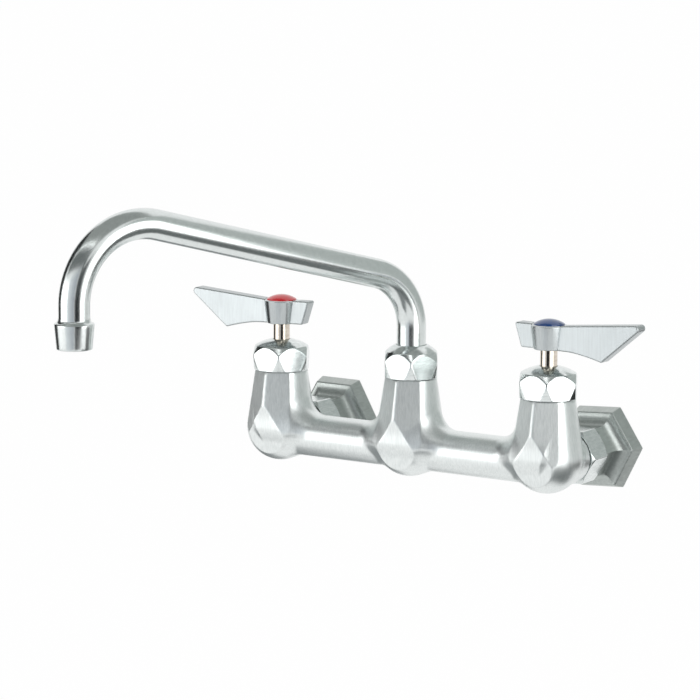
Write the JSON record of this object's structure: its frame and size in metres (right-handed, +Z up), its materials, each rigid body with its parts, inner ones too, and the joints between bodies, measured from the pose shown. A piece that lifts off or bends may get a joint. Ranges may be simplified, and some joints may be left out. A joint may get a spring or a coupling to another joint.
{
  "type": "wall-mounted two-handle sink faucet",
  "caption": "Wall-mounted sink faucet with a cross body, lever valves at both ends, dome nuts, hexagonal wall flanges and a swinging gooseneck spout.",
  "frame": {"origin": "on the wall face, midway between the two supply inlets", "axes": "+Z up, +Y into the wall, +X towards the cold side"},
  "size_m": [0.3349, 0.323, 0.1952],
  "materials": {
    "plated_casting": "satin plated, finely ground",
    "plated_nut": "satin plated, turned",
    "plated_lever": "satin plated, ground flat",
    "plated_flange": "satin plated, brushed",
    "plated_tube": "plated and polished",
    "plated_collar": "plated, turned",
    "polished_stem": "nickel plated, polished",
    "turned_brass": "bare, turned",
    "screw_steel": "stainless",
    "ceramic": "lapped",
    "seal_rubber": "matte",
    "fibre_washer": "pressed fibre",
    "glide_plastic": "moulded",
    "straightener_plastic": "moulded",
    "button_red": "gloss",
    "button_blue": "gloss"
  },
  "bodies": {
    "faucet": {"body": "plated_casting", "hot_cartridge": "turned_brass", "cold_cartridge": "turned_brass", "hot_seat_washer": "seal_rubber", "cold_seat_washer": "seal_rubber", "hot_fixed_disc": "ceramic", "cold_fixed_disc": "ceramic", "hot_stem_seal": "seal_rubber", "cold_stem_seal": "seal_rubber", "hot_bonnet_seal": "seal_rubber", "cold_bonnet_seal": "seal_rubber", "hot_dome_nut": "plated_nut", "cold_dome_nut": "plated_nut", "hot_flange": "plated_flange", "cold_flange": "plated_flange", "hot_tailpiece": "turned_brass", "cold_tailpiece": "turned_brass", "hot_union_washer": "fibre_washer", "cold_union_washer": "fibre_washer", "hot_union_nut": "plated_nut", "cold_union_nut": "plated_nut", "spout_glide_ring": "glide_plastic", "spout_nut": "plated_nut"},
    "spout": {"spout_tube": "plated_tube", "spout_collar": "plated_collar", "spout_straightener": "straightener_plastic", "spout_ferrule": "turned_brass", "spout_lower_seal": "seal_rubber", "spout_upper_seal": "seal_rubber"},
    "hot_handle": {"hot_lever": "plated_lever", "hot_lever_screw": "screw_steel", "hot_index_button": "button_red", "hot_stem": "polished_stem", "hot_turning_disc": "ceramic"},
    "cold_handle": {"cold_lever": "plated_lever", "cold_lever_screw": "screw_steel", "cold_index_button": "button_blue", "cold_stem": "polished_stem", "cold_turning_disc": "ceramic"}
  },
  "joints": [
    {"name": "spout_swivel", "type": "hinge", "parent": "faucet", "child": "spout", "pos_m": [0, -0.0727, 0], "axis": [0, 0, 1], "range_deg": [-79.6, 120.4]},
    {"name": "hot_turn", "type": "hinge", "parent": "faucet", "child": "hot_handle", "pos_m": [-0.1016, -0.0727, 0], "axis": [0, 0, 1], "range_deg": [0, 90]},
    {"name": "cold_turn", "type": "hinge", "parent": "faucet", "child": "cold_handle", "pos_m": [0.1016, -0.0727, 0], "axis": [0, 0, 1], "range_deg": [-90, 0]}
  ]
}
